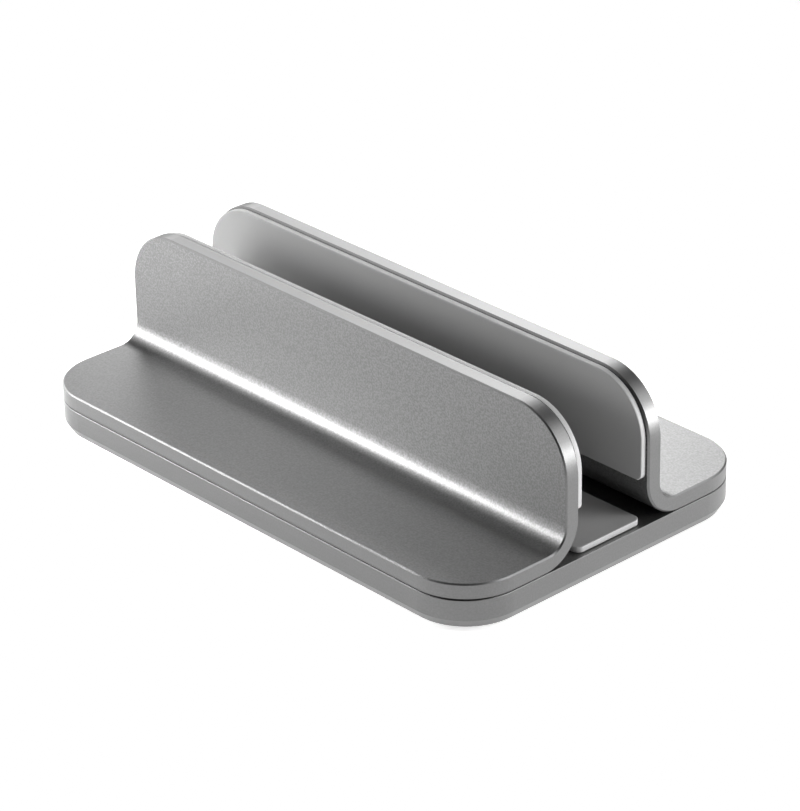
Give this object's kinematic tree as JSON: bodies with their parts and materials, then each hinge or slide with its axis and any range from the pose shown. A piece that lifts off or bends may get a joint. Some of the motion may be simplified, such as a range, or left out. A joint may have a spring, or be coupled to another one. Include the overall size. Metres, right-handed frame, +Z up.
{
  "type": "vertical laptop stand",
  "caption": "Vertical laptop stand: a rounded slab base with L-shaped brackets that slide across it, lined with soft pads, forming an adjustable slot.",
  "frame": {"origin": "centre of the footprint, on the surface that the feet stand on", "axes": "+X along the slot that holds the laptop, +Y across the slot towards the rear bracket, +Z up"},
  "size_m": [0.175, 0.108, 0.0509],
  "materials": {
    "anodised_aluminium": "satin, bead-blasted and anodised grey",
    "pad_silicone": "smooth matte grey silicone",
    "foot_silicone": "matte dark grey silicone",
    "adhesive_sheet": "dark double-sided adhesive foam sheet",
    "screw_steel": "plain steel fasteners"
  },
  "bodies": {
    "base": {"base_plate": "anodised_aluminium", "slot_pad": "pad_silicone", "slot_pad_tape": "adhesive_sheet", "foot_front_left": "foot_silicone", "foot_front_right": "foot_silicone", "foot_rear_left": "foot_silicone", "foot_rear_right": "foot_silicone"},
    "front_side": {"front_bracket": "anodised_aluminium", "front_pad": "pad_silicone", "front_pad_tape": "adhesive_sheet", "front_clamp_screws": "screw_steel", "front_clamp_washers": "screw_steel"},
    "rear_side": {"rear_bracket": "anodised_aluminium", "rear_pad": "pad_silicone", "rear_pad_tape": "adhesive_sheet", "rear_clamp_screws": "screw_steel", "rear_clamp_washers": "screw_steel"}
  },
  "joints": [
    {"name": "front_slide", "type": "slide", "parent": "base", "child": "front_side", "axis": [0, 1, 0], "range_m": [0, 0.006]},
    {"name": "rear_slide", "type": "slide", "parent": "base", "child": "rear_side", "axis": [0, -1, 0], "range_m": [0, 0.006]}
  ]
}
